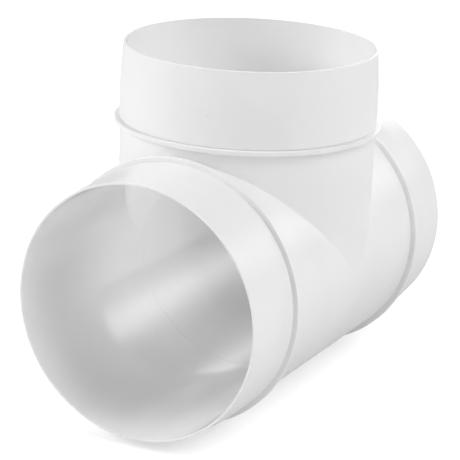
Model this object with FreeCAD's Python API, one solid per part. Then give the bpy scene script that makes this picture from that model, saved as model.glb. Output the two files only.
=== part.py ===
import FreeCAD, Part
import math
import os

# Equal T-piece for round ventilation duct, mm. The run lies along X, the branch points up.
# The origin is on the surface that the two run rings stand on, below the crossing of the axes.

# The duct that pushes over each arm, and how loosely it does so
duct_bore_r = 50.0        # inside radius of the duct
duct_gap = 0.4            # radial gap between duct and spigot

# Lengths along an arm
spigot_len = 29.0         # rim to stop ring
ring_w = 2.0              # stop ring, along the arm
run_neck = 4.3            # stop ring to the top of the mitre, on the two run arms
branch_neck = 4.3         # the same on the branch

# Lead-in at the rim
lead_len = 15.0           # length of the taper
lead_drop = 1.0           # what the taper takes off the spigot's radius
rim_wall = 0.83           # wall at the rim, where it is thinnest
rim_round = 0.25          # rounding of the rim's outer edge

# Middle seam of the run
seam_break = 0.2          # chamfer on the bore edge of each run half, which leaves a fine groove

# Heights across the wall
ring_rise = 1.8           # stop ring above the spigot
body_step = 0.4           # body's outside below the spigot's outside
draft_deg = 1.0           # each arm's bore opens towards its rim by this angle
ring_round_out = 0.25     # rounding of the ring's edge on the duct side
ring_round_in = 0.6       # rounding of the ring's edge on the body side

# Cemented socket joint between spigot and body
lap_step = 1.5            # spigot root's outside below the spigot's outside
floor_land = 0.9          # body left between the socket's floor and the mitre
cement_gap = 0.05         # radial gap that the cement fills

# Sizes that follow
spigot_r = duct_bore_r - duct_gap
ring_r = spigot_r + ring_rise
body_r = spigot_r - body_step
lap_r = spigot_r - lap_step
socket_r = lap_r + cement_gap
draft = math.tan(math.radians(draft_deg))
axis_height = ring_r


def body_end(neck):
    """Distance from the crossing to the end face of an arm's body."""
    return body_r + neck


def shoulder(neck):
    """Distance from the crossing to the spigot's shoulder, which bears on the ring."""
    return body_end(neck) + ring_w


def reach(neck):
    """Distance from the crossing to the rim."""
    return shoulder(neck) + spigot_len


def socket_floor(neck):
    """Distance from the crossing to the floor of the body's socket."""
    return lap_r + floor_land


def bore_r(along):
    """Bore radius at a distance from the crossing. All arms share it, so their mitres match."""
    longest = max(reach(run_neck), reach(branch_neck))
    rim_bore_r = spigot_r - lead_drop - rim_wall
    return rim_bore_r - draft * (longest - along)


def corner(before, point, after, radius):
    """Tangent points and mid point of an arc that rounds one corner of a profile."""
    to_before = (before - point).normalize()
    to_after = (after - point).normalize()
    half = to_before.getAngle(to_after) / 2.0
    cut = radius / math.tan(half)
    middle = (to_before + to_after).normalize()
    start = point + to_before * cut
    end = point + to_after * cut
    top = point + middle * (radius / math.sin(half) - radius)
    return start, top, end


def revolve_profile(points):
    """Solid of revolution about X. Each point is (along, radius, rounding)."""
    places = [FreeCAD.Vector(u, 0, r) for u, r, _ in points]
    count = len(points)
    ends = []
    edges = []
    for i in range(count):
        rounding = points[i][2]
        if rounding > 0:
            start, top, end = corner(places[i - 1], places[i], places[(i + 1) % count], rounding)
            edges.append(Part.Arc(start, top, end).toShape())
            ends.append((start, end))
        else:
            ends.append((places[i], places[i]))
    for i in range(count):
        start = ends[i][1]
        end = ends[(i + 1) % count][0]
        edges.append(Part.LineSegment(start, end).toShape())
    wire = Part.Wire(Part.__sortEdges__(edges))
    return Part.Face(wire).revolve(FreeCAD.Vector(0, 0, 0), FreeCAD.Vector(1, 0, 0), 360)


def wedge(corners):
    """Slab across the whole fitting, from corners given as (x, z)."""
    size = 4.0 * (body_r + spigot_len)
    points = [FreeCAD.Vector(x * size, -size, z * size) for x, z in corners]
    face = Part.Face(Part.makePolygon(points + points[:1]))
    return face.extrude(FreeCAD.Vector(0, 2 * size, 0))


def make_body(neck, corners, edge_break):
    """One arm's body: tube with a drafted bore and a socket, cut along the seams."""
    end = body_end(neck)
    floor = socket_floor(neck)
    mouth = [(0, bore_r(0), 0)]
    if edge_break > 0:
        mouth = [(edge_break, bore_r(edge_break), 0), (0, bore_r(0) + edge_break, 0)]
    tube = revolve_profile(mouth + [
        (0, body_r, 0),
        (end, body_r, 0),
        (end, socket_r, 0),
        (floor, socket_r, 0),
        (floor, bore_r(floor), 0),
    ])
    return tube.common(wedge(corners)).Solids[0]


def make_spigot(neck):
    """Push-in end with its thinner root, which fills the body's socket."""
    rim = reach(neck)
    floor = socket_floor(neck)
    return revolve_profile([
        (floor, bore_r(floor), 0),
        (floor, lap_r, 0),
        (shoulder(neck), lap_r, 0),
        (shoulder(neck), spigot_r, 0),
        (rim - lead_len, spigot_r, 0),
        (rim, spigot_r - lead_drop, rim_round),
        (rim, bore_r(rim), 0),
    ])


def make_ring(neck):
    """Stop ring, trapped between the spigot's shoulder and the body's end face."""
    return revolve_profile([
        (body_end(neck), socket_r, 0),
        (body_end(neck), ring_r, ring_round_in),
        (shoulder(neck), ring_r, ring_round_out),
        (shoulder(neck), socket_r, 0),
    ])


def place(shape, axis, angle):
    """Turn an arm built along +X to its own direction and lift it to the axis height."""
    turned = shape.copy()
    turned.rotate(FreeCAD.Vector(0, 0, 0), axis, angle)
    turned.translate(FreeCAD.Vector(0, 0, axis_height))
    return turned


def make_arm(name, body_name, neck, corners, edge_break, axis, angle):
    """The body, spigot and stop ring of one arm, as named solids."""
    return {
        body_name: place(make_body(neck, corners, edge_break), axis, angle),
        "spigot_" + name: place(make_spigot(neck), axis, angle),
        "stop_ring_" + name: place(make_ring(neck), axis, angle),
    }


# A run arm keeps what lies below its mitre, the branch keeps the V between both mitres.
run_corners = [(0, 0), (1, 1), (1, -1), (0, -1)]
branch_corners = [(0, 0), (1, 1), (1, -1)]
up = FreeCAD.Vector(0, 0, 1)
across = FreeCAD.Vector(0, 1, 0)

pieces = {}
pieces.update(make_arm("left", "run_body_left", run_neck, run_corners, seam_break, up, 180))
pieces.update(make_arm("right", "run_body_right", run_neck, run_corners, seam_break, up, 0))
pieces.update(make_arm("branch", "branch_body", branch_neck, branch_corners, 0, across, -90))

os.makedirs("parts", exist_ok=True)
for piece_name, piece in pieces.items():
    piece.exportStep("parts/" + piece_name + ".step")
    print(piece_name, "valid", piece.isValid(), "volume mm3", round(piece.Volume, 1))
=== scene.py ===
import math

import bmesh
import bpy
from bpy.props import FloatProperty, FloatVectorProperty, IntProperty, PointerProperty
from mathutils import Matrix, Vector


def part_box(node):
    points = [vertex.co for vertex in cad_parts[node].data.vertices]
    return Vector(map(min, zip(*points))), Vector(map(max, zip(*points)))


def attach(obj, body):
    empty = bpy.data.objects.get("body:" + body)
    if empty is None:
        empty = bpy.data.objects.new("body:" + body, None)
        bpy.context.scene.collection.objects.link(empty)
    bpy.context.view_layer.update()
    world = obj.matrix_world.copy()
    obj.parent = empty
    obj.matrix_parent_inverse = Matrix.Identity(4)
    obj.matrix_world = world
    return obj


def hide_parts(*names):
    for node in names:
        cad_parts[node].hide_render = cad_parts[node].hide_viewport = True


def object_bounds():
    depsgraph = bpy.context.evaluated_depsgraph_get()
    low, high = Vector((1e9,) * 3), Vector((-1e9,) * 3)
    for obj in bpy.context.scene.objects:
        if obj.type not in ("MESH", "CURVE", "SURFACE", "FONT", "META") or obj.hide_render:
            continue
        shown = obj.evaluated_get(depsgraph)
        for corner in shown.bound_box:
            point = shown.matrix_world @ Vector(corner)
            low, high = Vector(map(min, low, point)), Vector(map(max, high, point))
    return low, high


bl_info = {
    "name": "Round duct tee",
    "version": (1, 0, 0),
    "blender": (4, 5, 0),
    "location": "View3D > Sidebar > Duct tee",
    "description": "Builds a glossy white push-fit ventilation tee, piece by piece, on its packed CAD model",
    "category": "Object",
}

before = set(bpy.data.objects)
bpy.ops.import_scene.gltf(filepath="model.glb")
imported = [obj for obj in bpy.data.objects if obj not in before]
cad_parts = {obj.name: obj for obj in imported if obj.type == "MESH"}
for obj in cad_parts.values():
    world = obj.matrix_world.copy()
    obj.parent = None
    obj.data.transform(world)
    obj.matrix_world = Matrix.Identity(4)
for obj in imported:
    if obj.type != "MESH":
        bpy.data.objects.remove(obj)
cad_low, cad_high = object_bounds()

BODY = "root"
MM = 0.001


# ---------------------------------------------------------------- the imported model's sizes

class Arm:
    """One arm of the tee: its direction, and distances along it from the crossing of the axes."""

    def __init__(self, name, along, up):
        self.name = name
        self.along = Vector(along)
        self.up = Vector(up)
        self.side = self.along.cross(self.up)
        self.body_end, self.shoulder = self.span("stop_ring_" + name)
        self.socket_floor, self.rim = self.span("spigot_" + name)

    def span(self, node):
        """Nearest and furthest distance of a CAD node from the crossing, along this arm."""
        ends = sorted((corner - crossing).dot(self.along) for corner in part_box(node))
        return ends[0], ends[1]

    def point(self, distance, radius, turn):
        """Place of a point on this arm, turned from its up direction."""
        across = self.up * math.cos(turn) + self.side * math.sin(turn)
        return crossing + self.along * distance + across * radius


def half_height(node):
    """Outside radius of a round CAD node that lies along the run."""
    low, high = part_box(node)
    return (high.z - low.z) / 2


ring_r = half_height("stop_ring_left")
spigot_r = half_height("spigot_left")
crossing = Vector((0.0, 0.0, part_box("stop_ring_left")[0].z + ring_r))
body_r = crossing.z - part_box("run_body_left")[0].z

left_arm = Arm("left", (-1, 0, 0), (0, 0, 1))
right_arm = Arm("right", (1, 0, 0), (0, 0, 1))
branch_arm = Arm("branch", (0, 0, 1), (1, 0, 0))
arms = (left_arm, right_arm, branch_arm)
longest_reach = max(arm.rim for arm in arms)


# ---------------------------------------------------------------- what a user would change

class DuctTeeSizes(bpy.types.PropertyGroup):
    """Sizes of the tee that its outside box doesn't give."""
    rim_wall: FloatProperty(
        name="Rim wall", description="Wall of each spigot at its rim, before the edges are rounded",
        default=0.83 * MM, min=0.3 * MM, unit="LENGTH")
    lead_in_length: FloatProperty(
        name="Lead-in length", description="Length of the taper at the end of each spigot",
        default=15 * MM, min=0.0, unit="LENGTH")
    lead_in_drop: FloatProperty(
        name="Lead-in drop", description="What the taper takes off the spigot's radius",
        default=1.0 * MM, min=0.0, unit="LENGTH")
    bore_draft: FloatProperty(
        name="Bore draft", description="Angle by which each bore opens towards its rim",
        default=math.radians(1.0), min=0.0, subtype="ANGLE")
    root_step: FloatProperty(
        name="Spigot root step", description="How far the cemented root lies below the spigot's outside",
        default=1.5 * MM, min=0.0, unit="LENGTH")
    cement_gap: FloatProperty(
        name="Cement gap", description="Radial gap between the spigot's root and the body's socket",
        default=0.05 * MM, min=0.0, unit="LENGTH")
    seam_break: FloatProperty(
        name="Seam edge break", description="Chamfer on the bore edge of each run half",
        default=0.12 * MM, min=0.0, unit="LENGTH")
    shoulder_break: FloatProperty(
        name="Shoulder edge break",
        description="Chamfer on the spigot's shoulder, which leaves a crease at the ring",
        default=0.35 * MM, min=0.0, unit="LENGTH")
    ring_body_round: FloatProperty(
        name="Ring round, body side", description="Rounding of the stop ring's edge towards the body",
        default=0.6 * MM, min=0.0, unit="LENGTH")
    ring_duct_round: FloatProperty(
        name="Ring round, duct side", description="Rounding of the stop ring's edge towards the duct",
        default=0.25 * MM, min=0.0, unit="LENGTH")
    rim_outer_round: FloatProperty(
        name="Rim round, outside", description="Rounding of the rim's outer edge",
        default=0.25 * MM, min=0.0, unit="LENGTH")
    rim_inner_round: FloatProperty(
        name="Rim round, inside", description="Rounding of the rim's inner edge",
        default=0.2 * MM, min=0.0, unit="LENGTH")
    turns: IntProperty(
        name="Facets round", description="Facets round each tube, a multiple of 4",
        default=256, min=32, step=4)


class PlasticFinish(bpy.types.PropertyGroup):
    """Look of the white moulded plastic."""
    colour: FloatVectorProperty(
        name="Plastic", description="Colour of the plastic", subtype="COLOR",
        size=3, min=0.0, max=1.0, default=(0.93, 0.93, 0.93))
    thin_colour: FloatVectorProperty(
        name="Flow marks", description="Colour where the melt flowed last and the white pigment is thinner",
        subtype="COLOR", size=3, min=0.0, max=1.0, default=(0.905, 0.905, 0.908))
    speck_colour: FloatVectorProperty(
        name="Specks", description="Colour of the few dark specks in the plastic",
        subtype="COLOR", size=3, min=0.0, max=1.0, default=(0.32, 0.30, 0.28))
    speck_share: FloatProperty(
        name="Specks, share", description="Share of the places for a speck that have one",
        default=0.35, min=0.0, max=1.0, subtype="FACTOR")
    gloss: FloatProperty(
        name="Outside, clean", description="Roughness of the outside where its skin is cleanest",
        default=0.285, min=0.0, max=1.0, subtype="FACTOR")
    haze: FloatProperty(
        name="Outside, dull", description="Roughness of the outside where handling has dulled it",
        default=0.34, min=0.0, max=1.0, subtype="FACTOR")
    bore_gloss: FloatProperty(
        name="Bore, clean", description="Roughness of the bore where its skin is cleanest",
        default=0.04, min=0.0, max=1.0, subtype="FACTOR")
    bore_haze: FloatProperty(
        name="Bore, dull", description="Roughness of the bore where it is dullest",
        default=0.06, min=0.0, max=1.0, subtype="FACTOR")
    refraction: FloatProperty(
        name="Refraction", description="Refractive index of the skin, which sets how strongly it mirrors",
        default=1.45, min=1.0, max=2.0)
    ripple: FloatProperty(
        name="Ripple height", description="Height of the moulded skin's slow ripple",
        default=0.006 * MM, min=0.0, unit="LENGTH", precision=6)


class StudioSettings(bpy.types.PropertyGroup):
    """The stage that the tee stands on, its light and its camera."""
    floor_colour: FloatVectorProperty(
        name="Floor", description="Colour of the table", subtype="COLOR",
        size=3, min=0.0, max=1.0, default=(0.78, 0.78, 0.78))
    room_light: FloatProperty(
        name="Room light", description="Brightness of the even light from all round",
        default=0.02, min=0.0)
    table_glow: FloatProperty(
        name="Table glow", description="How much brighter the camera sees the table than its light alone",
        default=0.6, min=0.0)
    camera_azimuth: FloatProperty(
        name="Camera azimuth", description="Direction of the camera round the tee",
        default=math.radians(-63.06), subtype="ANGLE")
    camera_elevation: FloatProperty(
        name="Camera elevation", description="Height of the camera as an angle",
        default=math.radians(17.42), subtype="ANGLE")
    camera_roll: FloatProperty(
        name="Camera roll", description="Turn of the camera about its own line of sight",
        default=math.radians(2.37), subtype="ANGLE")
    camera_distance: FloatProperty(
        name="Camera distance", description="Distance from the crossing of the axes, along the line of sight",
        default=0.8102, min=0.1, unit="LENGTH")
    camera_shift_right: FloatProperty(
        name="Camera moved right", description="How far the camera is moved to its right",
        default=-4.73 * MM, unit="LENGTH")
    camera_shift_up: FloatProperty(
        name="Camera moved up", description="How far the camera is moved up in its own frame",
        default=9.39 * MM, unit="LENGTH")
    camera_lens: FloatProperty(
        name="Focal length", description="Focal length of the lens, in millimetres, on a 36 mm sensor",
        default=161.2, min=10.0, unit="CAMERA")


# ---------------------------------------------------------------- outlines and spinning

ARC_STEPS = 6                  # straight pieces in a rounded corner
LONGEST_STRETCH = 3 * MM       # longer stretches of an outline are divided
HOLD = 0.12 * MM               # a loop this far from a rounding keeps the flat beside it flat
SAME_PLACE = 1e-7              # corners nearer than this are one corner
SHARP_ANGLE = math.radians(25)     # edges that bend more than this stay sharp
OUTSIDE, BORE = 0, 1           # material slots; an outline's last stretch, back to its start, is the bore


def rounded_corner(before, point, after, radius):
    """Points of the arc that rounds one corner, or the corner itself."""
    if radius <= 0:
        return [point]
    to_before = (before - point).normalized()
    to_after = (after - point).normalized()
    half = to_before.angle(to_after) / 2
    middle = (to_before + to_after).normalized()
    centre = point + middle * (radius / math.sin(half))
    start = point + to_before * (radius / math.tan(half)) - centre
    end = point + to_after * (radius / math.tan(half)) - centre
    return [centre + start.slerp(end, step / ARC_STEPS) * radius for step in range(ARC_STEPS + 1)]


def corner_points(corners):
    """The points of each corner of a closed outline, given as (distance, radius, rounding)."""
    places = [Vector((distance, radius)) for distance, radius, _ in corners]
    count = len(corners)
    return [
        rounded_corner(places[i - 1], places[i], places[(i + 1) % count], corners[i][2])
        for i in range(count)
    ]


def stretch_fractions(start_round, end_round, length):
    """Where the stretch between two corners is divided, as fractions of its length."""
    cuts = int(length / LONGEST_STRETCH)
    fractions = [step / (cuts + 1) for step in range(1, cuts + 1)]
    if length > 4 * HOLD:
        if start_round:
            fractions.insert(0, HOLD / length)
        if end_round:
            fractions.append(1 - HOLD / length)
    return fractions


def spin(name, arm, outline, turns):
    """A closed mesh from an outline that may change as it turns about an arm's axis."""
    rings = [corner_points(outline(2 * math.pi * i / turns)) for i in range(turns)]
    count = len(rings[0])
    fractions = []
    for i in range(count):
        nxt = (i + 1) % count
        length = max((ring[nxt][0] - ring[i][-1]).length for ring in rings)
        fractions.append(stretch_fractions(len(rings[0][i]) > 1, len(rings[0][nxt]) > 1, length))

    mesh_maker = bmesh.new()
    loops = []
    for step, ring in enumerate(rings):
        turn = 2 * math.pi * step / turns
        places = []
        for i in range(count):
            places += ring[i]
            start, end = ring[i][-1], ring[(i + 1) % count][0]
            places += [start.lerp(end, share) for share in fractions[i]]
        loops.append([mesh_maker.verts.new(arm.point(p.x, p.y, turn)) for p in places])
    size = len(loops[0])
    bore_from = size - 1 - len(fractions[-1])
    for step, loop in enumerate(loops):
        following = loops[(step + 1) % turns]
        for i in range(size):
            nxt = (i + 1) % size
            face = mesh_maker.faces.new((loop[i], following[i], following[nxt], loop[nxt]))
            face.material_index = OUTSIDE if i < bore_from else BORE
    bmesh.ops.remove_doubles(mesh_maker, verts=mesh_maker.verts, dist=SAME_PLACE)
    bmesh.ops.recalc_face_normals(mesh_maker, faces=mesh_maker.faces)
    return finished_piece(name, mesh_maker)


def finished_piece(name, mesh_maker):
    """Turns the made mesh into a smooth-shaded object with sharp corners."""
    mesh = bpy.data.meshes.new(name)
    mesh_maker.to_mesh(mesh)
    mesh_maker.free()
    mesh.shade_smooth()
    mesh.set_sharp_from_angle(angle=SHARP_ANGLE)
    piece = bpy.data.objects.new(name, mesh)
    bpy.context.scene.collection.objects.link(piece)
    return piece


def bore_r(sizes, distance):
    """Bore radius at a distance from the crossing. All arms share it, so their mitres match."""
    at_rim = spigot_r - sizes.lead_in_drop - sizes.rim_wall
    return at_rim - math.tan(sizes.bore_draft) * (longest_reach - distance)


def bore_mitre(sizes, lean):
    """Distance at which the bore crosses a mitre that leans by this share of its radius."""
    start = bore_r(sizes, 0.0)
    return start * lean / (1 - math.tan(sizes.bore_draft) * lean)


def root_r(sizes):
    """Outside radius of a spigot's cemented root."""
    return spigot_r - sizes.root_step


# ---------------------------------------------------------------- the pieces' outlines

SEAM_FADE = 0.05               # the seam's edge break fades in over this share of a quarter turn


def run_body_outline(arm, sizes):
    """A run half: the tube below its mitre, with the socket for its spigot."""
    socket_r = root_r(sizes) + sizes.cement_gap

    def outline(turn):
        lean = max(0.0, math.cos(turn))
        fade = min(1.0, max(0.0, -math.cos(turn) / SEAM_FADE))
        edge = sizes.seam_break * fade
        start = bore_mitre(sizes, lean)
        return [
            (start + edge, bore_r(sizes, start + edge), 0),
            (start, bore_r(sizes, start) + edge, 0),
            (body_r * lean, body_r, 0),
            (arm.body_end, body_r, 0),
            (arm.body_end, socket_r, 0),
            (arm.socket_floor, socket_r, 0),
            (arm.socket_floor, bore_r(sizes, arm.socket_floor), 0),
        ]
    return outline


def branch_neck_outline(arm, sizes):
    """The branch: the tube above both mitres, with the socket for its spigot."""
    socket_r = root_r(sizes) + sizes.cement_gap

    def outline(turn):
        lean = abs(math.cos(turn))
        start = bore_mitre(sizes, lean)
        return [
            (start, bore_r(sizes, start), 0),
            (body_r * lean, body_r, 0),
            (arm.body_end, body_r, 0),
            (arm.body_end, socket_r, 0),
            (arm.socket_floor, socket_r, 0),
            (arm.socket_floor, bore_r(sizes, arm.socket_floor), 0),
        ]
    return outline


def spigot_outline(arm, sizes):
    """The push-in end with its tapered lead-in, and its thinner root inside the ring and body."""
    corners = [
        (arm.socket_floor, bore_r(sizes, arm.socket_floor), 0),
        (arm.socket_floor, root_r(sizes), 0),
        (arm.shoulder, root_r(sizes), 0),
        (arm.shoulder, spigot_r - sizes.shoulder_break, 0),
        (arm.shoulder + sizes.shoulder_break, spigot_r, 0),
        (arm.rim - sizes.lead_in_length, spigot_r, 0),
        (arm.rim, spigot_r - sizes.lead_in_drop, sizes.rim_outer_round),
        (arm.rim, bore_r(sizes, arm.rim), sizes.rim_inner_round),
    ]
    return lambda turn: corners


def stop_ring_outline(arm, sizes):
    """The ring that a duct is pushed up to, trapped between the spigot's shoulder and the body."""
    inner_r = root_r(sizes) + sizes.cement_gap
    corners = [
        (arm.body_end, inner_r, 0),
        (arm.body_end, ring_r, sizes.ring_body_round),
        (arm.shoulder, ring_r, sizes.ring_duct_round),
        (arm.shoulder, inner_r, 0),
    ]
    return lambda turn: corners


def make_piece(name, node, arm, outline_of, outside):
    """Spins one piece, gives it its plastic and lets it stand for its CAD node."""
    sizes = bpy.context.scene.duct_tee_sizes
    piece = spin(name, arm, outline_of(arm, sizes), sizes.turns)
    piece.data.materials.append(outside)
    piece.data.materials.append(bore_plastic())
    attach(piece, BODY)
    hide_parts(node)


# ---------------------------------------------------------------- node helpers

def new_group(name, inputs, outputs):
    """A shader node group with named sockets. Inputs are (name, type, default)."""
    tree = bpy.data.node_groups.new(name, "ShaderNodeTree")
    for socket_name, kind, default in inputs:
        socket = tree.interface.new_socket(name=socket_name, in_out="INPUT", socket_type=kind)
        socket.default_value = default
    for socket_name, kind in outputs:
        tree.interface.new_socket(name=socket_name, in_out="OUTPUT", socket_type=kind)
    return tree, tree.nodes.new("NodeGroupInput"), tree.nodes.new("NodeGroupOutput")


def math_node(tree, operation, first, second, clamp=False):
    """A Math node. Each operand is a socket or a number."""
    node = tree.nodes.new("ShaderNodeMath")
    node.operation = operation
    node.use_clamp = clamp
    for socket, operand in zip(node.inputs, (first, second)):
        if isinstance(operand, bpy.types.NodeSocket):
            tree.links.new(operand, socket)
        else:
            socket.default_value = operand
    return node.outputs[0]


def noise_node(tree, place, scale, detail, roughness=0.5):
    """A Noise Texture's factor. The scale is a socket or a number."""
    node = tree.nodes.new("ShaderNodeTexNoise")
    tree.links.new(place, node.inputs["Vector"])
    if isinstance(scale, bpy.types.NodeSocket):
        tree.links.new(scale, node.inputs["Scale"])
    else:
        node.inputs["Scale"].default_value = scale
    node.inputs["Detail"].default_value = detail
    node.inputs["Roughness"].default_value = roughness
    return node.outputs["Fac"]


def spread_node(tree, value, low, high):
    """Spreads a value from low..high to 0..1 with soft ends."""
    node = tree.nodes.new("ShaderNodeMapRange")
    node.interpolation_type = "SMOOTHSTEP"
    tree.links.new(value, node.inputs["Value"])
    node.inputs["From Min"].default_value = low
    node.inputs["From Max"].default_value = high
    return node.outputs["Result"]


def mix_colours(tree, factor, first, second):
    """Mixes two colours, each a socket or an RGBA value."""
    node = tree.nodes.new("ShaderNodeMix")
    node.data_type = "RGBA"
    tree.links.new(factor, node.inputs["Factor"])
    for socket, colour in ((node.inputs["A"], first), (node.inputs["B"], second)):
        if isinstance(colour, bpy.types.NodeSocket):
            tree.links.new(colour, socket)
        else:
            socket.default_value = colour
    return node.outputs["Result"]


def mix_values(tree, factor, first, second):
    """Mixes two values by a factor that changes over the surface."""
    node = tree.nodes.new("ShaderNodeMix")
    tree.links.new(factor, node.inputs["Factor"])
    tree.links.new(first, node.inputs["A"])
    tree.links.new(second, node.inputs["B"])
    return node.outputs["Result"]


def place_group(tree, group, place, settings):
    """Puts a shared group in a material, with its own values."""
    node = tree.nodes.new("ShaderNodeGroup")
    node.node_tree = group
    tree.links.new(place, node.inputs["Place"])
    for name, value in settings.items():
        node.inputs[name].default_value = value
    return node


def rgba(colour):
    """A colour property as four numbers."""
    return (colour[0], colour[1], colour[2], 1.0)


# ---------------------------------------------------------------- shared surface effects

def flow_marks_group():
    """Faint clouds of thinner pigment, left by the flow of the melt."""
    tree, given, result = new_group(
        "Flow marks",
        [("Place", "NodeSocketVector", (0, 0, 0)),
         ("Clean Colour", "NodeSocketColor", (0.9, 0.9, 0.9, 1)),
         ("Thin Colour", "NodeSocketColor", (0.85, 0.85, 0.85, 1)),
         ("Scale", "NodeSocketFloat", 30.0)],
        [("Colour", "NodeSocketColor")])
    cloud = noise_node(tree, given.outputs["Place"], given.outputs["Scale"], detail=3.0)
    mask = spread_node(tree, cloud, low=0.42, high=0.68)
    colour = mix_colours(tree, mask, given.outputs["Clean Colour"], given.outputs["Thin Colour"])
    tree.links.new(colour, result.inputs["Colour"])
    return tree


def skin_gloss_group():
    """Roughness of a glossy skin with patches dulled by handling."""
    tree, given, result = new_group(
        "Skin gloss",
        [("Place", "NodeSocketVector", (0, 0, 0)),
         ("Clean Roughness", "NodeSocketFloat", 0.1),
         ("Dull Roughness", "NodeSocketFloat", 0.2),
         ("Scale", "NodeSocketFloat", 20.0)],
        [("Roughness", "NodeSocketFloat")])
    patches = noise_node(tree, given.outputs["Place"], given.outputs["Scale"], detail=4.0, roughness=0.6)
    mask = spread_node(tree, patches, low=0.4, high=0.75)
    value = mix_values(tree, mask, given.outputs["Clean Roughness"], given.outputs["Dull Roughness"])
    tree.links.new(value, result.inputs["Roughness"])
    return tree


def ripple_group():
    """Height of the skin: a slow ripple from uneven cooling, and a fine grain on top."""
    tree, given, result = new_group(
        "Skin ripple",
        [("Place", "NodeSocketVector", (0, 0, 0)),
         ("Slow Scale", "NodeSocketFloat", 60.0),
         ("Fine Scale", "NodeSocketFloat", 900.0),
         ("Fine Share", "NodeSocketFloat", 0.05)],
        [("Height", "NodeSocketFloat")])
    slow = noise_node(tree, given.outputs["Place"], given.outputs["Slow Scale"], detail=1.0)
    fine = noise_node(tree, given.outputs["Place"], given.outputs["Fine Scale"], detail=2.0)
    grain = math_node(tree, "MULTIPLY", fine, given.outputs["Fine Share"])
    tree.links.new(math_node(tree, "ADD", slow, grain), result.inputs["Height"])
    return tree


def specks_group():
    """A mask of a few tiny specks, far apart."""
    tree, given, result = new_group(
        "Stray specks",
        [("Place", "NodeSocketVector", (0, 0, 0)),
         ("Scale", "NodeSocketFloat", 60.0),
         ("Size", "NodeSocketFloat", 0.03),
         ("Share", "NodeSocketFloat", 0.1)],
        [("Mask", "NodeSocketFloat")])
    cells = tree.nodes.new("ShaderNodeTexVoronoi")
    tree.links.new(given.outputs["Place"], cells.inputs["Vector"])
    tree.links.new(given.outputs["Scale"], cells.inputs["Scale"])
    chance = tree.nodes.new("ShaderNodeSeparateColor")
    tree.links.new(cells.outputs["Color"], chance.inputs["Color"])
    chosen = math_node(tree, "LESS_THAN", chance.outputs["Red"], given.outputs["Share"])
    closeness = math_node(tree, "DIVIDE", cells.outputs["Distance"], given.outputs["Size"])
    dot = math_node(tree, "SUBTRACT", 1.0, closeness, clamp=True)
    tree.links.new(math_node(tree, "MULTIPLY", dot, chosen), result.inputs["Mask"])
    return tree


def shared_group(name, build):
    """Builds a shared node group the first time it is asked for."""
    return bpy.data.node_groups.get(name) or build()


# ---------------------------------------------------------------- materials

# Scales are in features per metre, as the places are in metres.
SPECK_SCALE = 140.0            # places for a speck
SPECK_SIZE = 0.03              # a speck's radius, as a share of the gap between places
PATCH_SCALE = 26.0             # patches of duller skin
GRAIN_SCALE = 1400.0           # fine grain of the skin
GRAIN_SHARE = 0.02             # height of the grain beside the slow ripple
GRIPPED_CLEAN = 1.1            # how much rougher handling leaves a spigot's clean skin
GRIPPED_DULL = 1.15            # the same for its dull skin
TABLE_CLEAN, TABLE_DULL = 0.75, 0.9    # roughness of the table
TABLE_CLOUD_SCALE = 3.0        # clouds in the table's colour
TABLE_CLOUD_SHADE = 0.985      # their colour beside the table's own
TABLE_PATCH_SCALE = 5.0        # patches of duller table

def new_material(name):
    """An empty material with its shader, and the place of each point in metres."""
    material = bpy.data.materials.new(name)
    material.use_nodes = True
    tree = material.node_tree
    place = tree.nodes.new("ShaderNodeTexCoord").outputs["Object"]
    return material, tree, tree.nodes["Principled BSDF"], place


def white_plastic(name, clean, dull, flow_scale, ripple_scale):
    """White moulded plastic, whose skin is glossy at the clean roughness and hazy at the dull one."""
    made = bpy.data.materials.get(name)
    if made:
        return made
    finish = bpy.context.scene.duct_tee_plastic
    material, tree, shader, place = new_material(name)

    flow = place_group(tree, shared_group("Flow marks", flow_marks_group), place, {
        "Clean Colour": rgba(finish.colour), "Thin Colour": rgba(finish.thin_colour),
        "Scale": flow_scale})
    specks = place_group(tree, shared_group("Stray specks", specks_group), place, {
        "Scale": SPECK_SCALE, "Size": SPECK_SIZE, "Share": finish.speck_share})
    colour = mix_colours(tree, specks.outputs["Mask"], flow.outputs["Colour"], rgba(finish.speck_colour))
    tree.links.new(colour, shader.inputs["Base Color"])

    gloss = place_group(tree, shared_group("Skin gloss", skin_gloss_group), place, {
        "Clean Roughness": clean, "Dull Roughness": dull, "Scale": PATCH_SCALE})
    tree.links.new(gloss.outputs["Roughness"], shader.inputs["Roughness"])

    skin = place_group(tree, shared_group("Skin ripple", ripple_group), place, {
        "Slow Scale": ripple_scale, "Fine Scale": GRAIN_SCALE, "Fine Share": GRAIN_SHARE})
    bump = tree.nodes.new("ShaderNodeBump")
    bump.inputs["Strength"].default_value = 1.0
    bump.inputs["Distance"].default_value = finish.ripple
    tree.links.new(skin.outputs["Height"], bump.inputs["Height"])
    tree.links.new(bump.outputs["Normal"], shader.inputs["Normal"])
    shader.inputs["IOR"].default_value = finish.refraction
    return material


def body_plastic():
    """The outside of run and branch, a soft moulded gloss."""
    finish = bpy.context.scene.duct_tee_plastic
    return white_plastic(
        "moulded_body_white", finish.gloss, finish.haze, flow_scale=24.0, ripple_scale=55.0)


def spigot_plastic():
    """The outside of the spigots, a little duller from being gripped and pushed into ducts."""
    finish = bpy.context.scene.duct_tee_plastic
    return white_plastic(
        "moulded_spigot_white", finish.gloss * GRIPPED_CLEAN, finish.haze * GRIPPED_DULL,
        flow_scale=34.0, ripple_scale=70.0)


def ring_plastic():
    """The stop rings."""
    finish = bpy.context.scene.duct_tee_plastic
    return white_plastic(
        "moulded_ring_white", finish.gloss, finish.haze, flow_scale=60.0, ripple_scale=90.0)


def bore_plastic():
    """The bore, glossier than the outside because a polished core shapes it."""
    finish = bpy.context.scene.duct_tee_plastic
    return white_plastic(
        "polished_bore_white", finish.bore_gloss, finish.bore_haze,
        flow_scale=24.0, ripple_scale=45.0)


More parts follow.
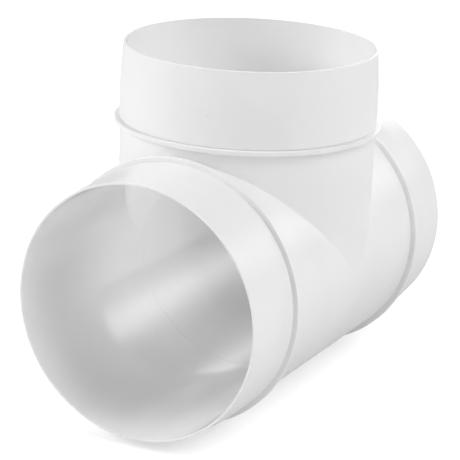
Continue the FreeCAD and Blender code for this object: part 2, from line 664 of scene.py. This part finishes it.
def table_white():
    """Pale table top. The camera sees it glow a little, so that it runs into the white backdrop."""
    studio = bpy.context.scene.duct_tee_studio
    material, tree, shader, place = new_material("table_white")
    pale = studio.floor_colour
    flow = place_group(tree, shared_group("Flow marks", flow_marks_group), place, {
        "Clean Colour": rgba(pale), "Thin Colour": rgba([part * TABLE_CLOUD_SHADE for part in pale]),
        "Scale": TABLE_CLOUD_SCALE})
    tree.links.new(flow.outputs["Colour"], shader.inputs["Base Color"])
    gloss = place_group(tree, shared_group("Skin gloss", skin_gloss_group), place, {
        "Clean Roughness": TABLE_CLEAN, "Dull Roughness": TABLE_DULL, "Scale": TABLE_PATCH_SCALE})
    tree.links.new(gloss.outputs["Roughness"], shader.inputs["Roughness"])

    glow = tree.nodes.new("ShaderNodeEmission")
    tree.links.new(flow.outputs["Colour"], glow.inputs["Color"])
    sight = tree.nodes.new("ShaderNodeLightPath")
    strength = math_node(tree, "MULTIPLY", sight.outputs["Is Camera Ray"], studio.table_glow)
    tree.links.new(strength, glow.inputs["Strength"])
    both = tree.nodes.new("ShaderNodeAddShader")
    tree.links.new(shader.outputs["BSDF"], both.inputs[0])
    tree.links.new(glow.outputs["Emission"], both.inputs[1])
    tree.links.new(both.outputs["Shader"], tree.nodes["Material Output"].inputs["Surface"])
    return material


# ---------------------------------------------------------------- stage

FLOOR_HALF = 12.0              # the table runs out to where it meets the backdrop
FLOOR_SQUARES = 8              # squares along each side of the table
SENSOR_WIDTH = 36.0            # width of the camera's sensor in millimetres
NEAREST_SEEN = 10 * MM         # the camera sees nothing nearer than this

# Large soft lights of the room: name, azimuth (from +X towards +Y) and elevation in degrees,
# how tight, how bright
SOFT_LIGHTS = (
    ("left_wall", 115, 30, 30, 7.5),
    ("left_corner", 140, 20, 30, 3.5),
    ("near_axis", 180, 10, 60, 1.0),
    ("front_high", 270, 55, 30, 5.5),
    ("front_low", 270, 30, 30, 4.0),
    ("near_port", 215, 10, 30, 1.5),
    ("overhead", 45, 60, 30, 1.5),
    ("far_window", 10, 10, 60, 6.5),
    ("far_left", 30, 30, 60, 3.0),
    ("far_right", -30, 20, 60, 3.5),
)


def make_floor():
    """A wide square table top under the tee."""
    mesh_maker = bmesh.new()
    bmesh.ops.create_grid(mesh_maker, x_segments=FLOOR_SQUARES, y_segments=FLOOR_SQUARES, size=FLOOR_HALF)
    floor = finished_piece("table_top", mesh_maker)
    floor.location.z = cad_low.z
    floor.data.materials.append(table_white())


def soft_light(tree, direction, turn, lift, tightness, strength):
    """Brightness of a large soft light, which fades smoothly away from its direction."""
    closeness = tree.nodes.new("ShaderNodeVectorMath")
    closeness.operation = "DOT_PRODUCT"
    tree.links.new(direction, closeness.inputs[0])
    closeness.inputs[1].default_value = pointing(turn, lift)
    facing = math_node(tree, "MAXIMUM", closeness.outputs["Value"], 0.0)
    shape = math_node(tree, "POWER", facing, tightness)
    return math_node(tree, "MULTIPLY", shape, strength)


def make_room():
    """A dim even room with large soft lights round the tee. The camera sees plain white."""
    studio = bpy.context.scene.duct_tee_studio
    world = bpy.data.worlds.new("white_room")
    bpy.context.scene.world = world
    world.use_nodes = True
    tree = world.node_tree
    background = tree.nodes["Background"]
    background.inputs["Color"].default_value = (1, 1, 1, 1)
    direction = tree.nodes.new("ShaderNodeTexCoord").outputs["Generated"]
    level = studio.room_light
    for _, turn, lift, tightness, strength in SOFT_LIGHTS:
        level = math_node(
            tree, "ADD", soft_light(tree, direction, turn, lift, tightness, strength), level)
    sight = tree.nodes.new("ShaderNodeLightPath")
    seen = tree.nodes.new("ShaderNodeMix")
    tree.links.new(sight.outputs["Is Camera Ray"], seen.inputs["Factor"])
    tree.links.new(level, seen.inputs["A"])
    seen.inputs["B"].default_value = 1.0
    tree.links.new(seen.outputs["Result"], background.inputs["Strength"])


def pointing(turn, lift):
    """Direction from an azimuth (from +X towards +Y) and an elevation, in degrees."""
    turn, lift = math.radians(turn), math.radians(lift)
    return Vector((math.cos(turn) * math.cos(lift), math.sin(turn) * math.cos(lift), math.sin(lift)))


def make_camera():
    """A long lens from the left port's side, looking a little down."""
    studio = bpy.context.scene.duct_tee_studio
    turn, lift, roll = studio.camera_azimuth, studio.camera_elevation, studio.camera_roll
    back = Vector((math.sin(turn) * math.cos(lift), -math.cos(turn) * math.cos(lift), math.sin(lift)))
    level = Vector((math.cos(turn), math.sin(turn), 0))
    rise = back.cross(level)
    right = level * math.cos(roll) + rise * math.sin(roll)
    up = rise * math.cos(roll) - level * math.sin(roll)
    lens = bpy.data.cameras.new("camera")
    lens.sensor_width = SENSOR_WIDTH
    lens.lens = studio.camera_lens
    lens.clip_start = NEAREST_SEEN
    camera = bpy.data.objects.new("camera", lens)
    bpy.context.scene.collection.objects.link(camera)
    place = crossing + back * studio.camera_distance
    place += right * studio.camera_shift_right + up * studio.camera_shift_up
    matrix = Matrix((right, up, back)).transposed().to_4x4()
    matrix.translation = place
    camera.matrix_world = matrix
    bpy.context.scene.camera = camera


# ---------------------------------------------------------------- operators

class DUCTTEE_OT_run_bodies(bpy.types.Operator):
    """Build the two halves of the run, mitred for the branch"""
    bl_idname = "duct_tee.run_bodies"
    bl_label = "Run bodies"

    def execute(self, context):
        make_piece("left_run_body", "run_body_left", left_arm, run_body_outline, body_plastic())
        make_piece("right_run_body", "run_body_right", right_arm, run_body_outline, body_plastic())
        return {"FINISHED"}


class DUCTTEE_OT_branch_neck(bpy.types.Operator):
    """Build the neck of the branch, mitred onto both halves of the run"""
    bl_idname = "duct_tee.branch_neck"
    bl_label = "Branch neck"

    def execute(self, context):
        make_piece("branch_neck", "branch_body", branch_arm, branch_neck_outline, body_plastic())
        return {"FINISHED"}


class DUCTTEE_OT_spigots(bpy.types.Operator):
    """Build the push-in spigot of each arm"""
    bl_idname = "duct_tee.spigots"
    bl_label = "Spigots"

    def execute(self, context):
        for arm in arms:
            make_piece(arm.name + "_spigot", "spigot_" + arm.name, arm, spigot_outline, spigot_plastic())
        return {"FINISHED"}


class DUCTTEE_OT_stop_rings(bpy.types.Operator):
    """Build the stop ring of each arm"""
    bl_idname = "duct_tee.stop_rings"
    bl_label = "Stop rings"

    def execute(self, context):
        for arm in arms:
            make_piece(
                arm.name + "_stop_ring", "stop_ring_" + arm.name, arm, stop_ring_outline, ring_plastic())
        return {"FINISHED"}


class DUCTTEE_OT_stage(bpy.types.Operator):
    """Set up the table, the room light and the camera"""
    bl_idname = "duct_tee.stage"
    bl_label = "Studio stage"

    def execute(self, context):
        context.scene.view_settings.view_transform = "Standard"
        make_floor()
        make_room()
        make_camera()
        return {"FINISHED"}


class DUCTTEE_PT_sidebar(bpy.types.Panel):
    """Sizes, finish and build steps of the duct tee"""
    bl_idname = "DUCTTEE_PT_sidebar"
    bl_label = "Duct tee"
    bl_space_type = "VIEW_3D"
    bl_region_type = "UI"
    bl_category = "Duct tee"

    def draw(self, context):
        for title, group in (
            ("Sizes", context.scene.duct_tee_sizes),
            ("Plastic", context.scene.duct_tee_plastic),
            ("Studio", context.scene.duct_tee_studio),
        ):
            box = self.layout.box()
            box.label(text=title)
            for name in group.__annotations__:
                box.prop(group, name)
        column = self.layout.column(align=True)
        for step in build_steps:
            column.operator(step.bl_idname)


build_steps = (
    DUCTTEE_OT_run_bodies,
    DUCTTEE_OT_branch_neck,
    DUCTTEE_OT_spigots,
    DUCTTEE_OT_stop_rings,
    DUCTTEE_OT_stage,
)
classes = (DuctTeeSizes, PlasticFinish, StudioSettings) + build_steps + (DUCTTEE_PT_sidebar,)


def register():
    for cls in classes:
        bpy.utils.register_class(cls)
    bpy.types.Scene.duct_tee_sizes = PointerProperty(type=DuctTeeSizes)
    bpy.types.Scene.duct_tee_plastic = PointerProperty(type=PlasticFinish)
    bpy.types.Scene.duct_tee_studio = PointerProperty(type=StudioSettings)


def unregister():
    del bpy.types.Scene.duct_tee_studio
    del bpy.types.Scene.duct_tee_plastic
    del bpy.types.Scene.duct_tee_sizes
    for cls in reversed(classes):
        bpy.utils.unregister_class(cls)


def main():
    """Builds every piece and the stage in order."""
    register()
    bpy.ops.duct_tee.run_bodies()
    bpy.ops.duct_tee.branch_neck()
    bpy.ops.duct_tee.spigots()
    bpy.ops.duct_tee.stop_rings()
    bpy.ops.duct_tee.stage()


if __name__ == "__main__":
    main()
